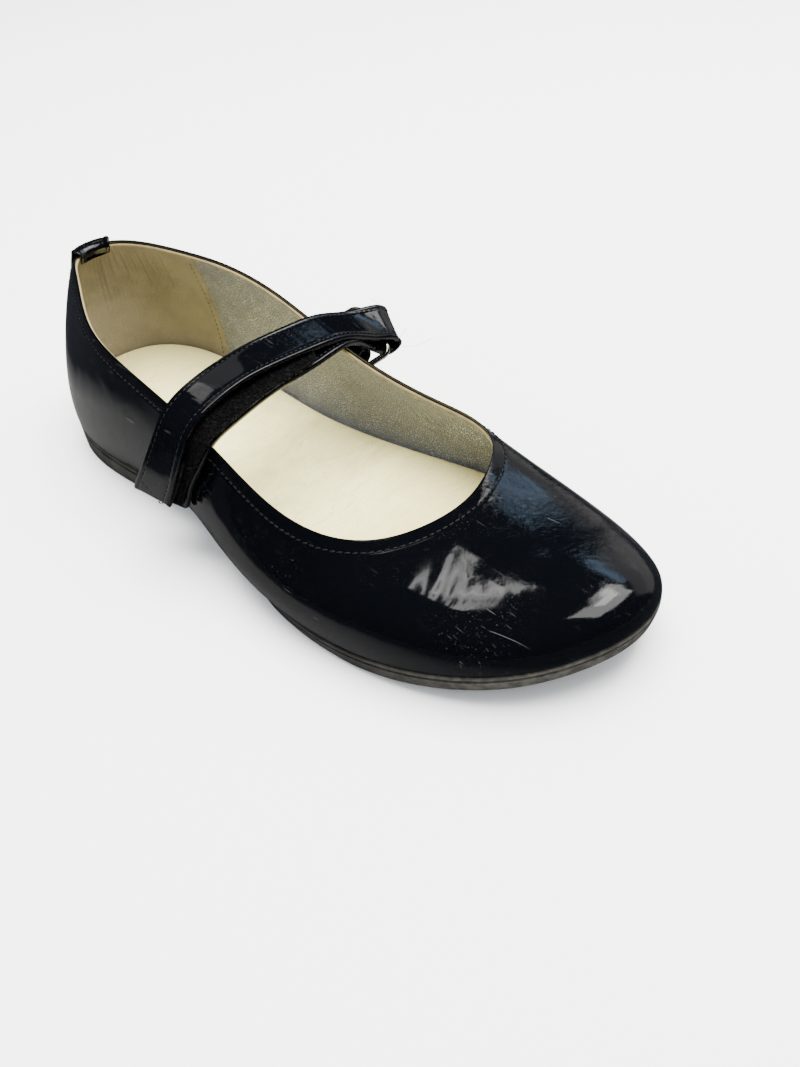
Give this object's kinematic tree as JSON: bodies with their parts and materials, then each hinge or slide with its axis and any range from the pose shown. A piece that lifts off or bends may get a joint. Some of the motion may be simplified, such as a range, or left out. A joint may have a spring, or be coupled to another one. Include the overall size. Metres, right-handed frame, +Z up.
{
  "type": "ballet flat",
  "caption": "Child's right ballet flat in black patent leather: low-cut hollow upper, low-heeled rubber sole, cream insole, instep strap with hook-and-loop tape through a metal ring.",
  "frame": {"origin": "on the floor, under the middle of the heel block, at the mount heel_ground", "axes": "+Z up, -Y towards the toe, +Y towards the heel, +X towards the wearer's left, which is the inner side of this right shoe"},
  "size_m": [0.095, 0.2192, 0.0559],
  "materials": {
    "patent": "glossy black patent leather",
    "rubber": "dull black moulded rubber",
    "sock": "cream leather lining, slightly worn",
    "tape": "fuzzy black hook-and-loop tape",
    "nickel": "polished nickel wire"
  },
  "bodies": {
    "root": {"outsole": "rubber", "insole": "sock", "upper": "patent", "backstay": "patent", "strap": "patent", "ring_loop": "patent", "loop_tape": "tape", "hook_tape": "tape", "ring": "nickel"}
  },
  "joints": []
}
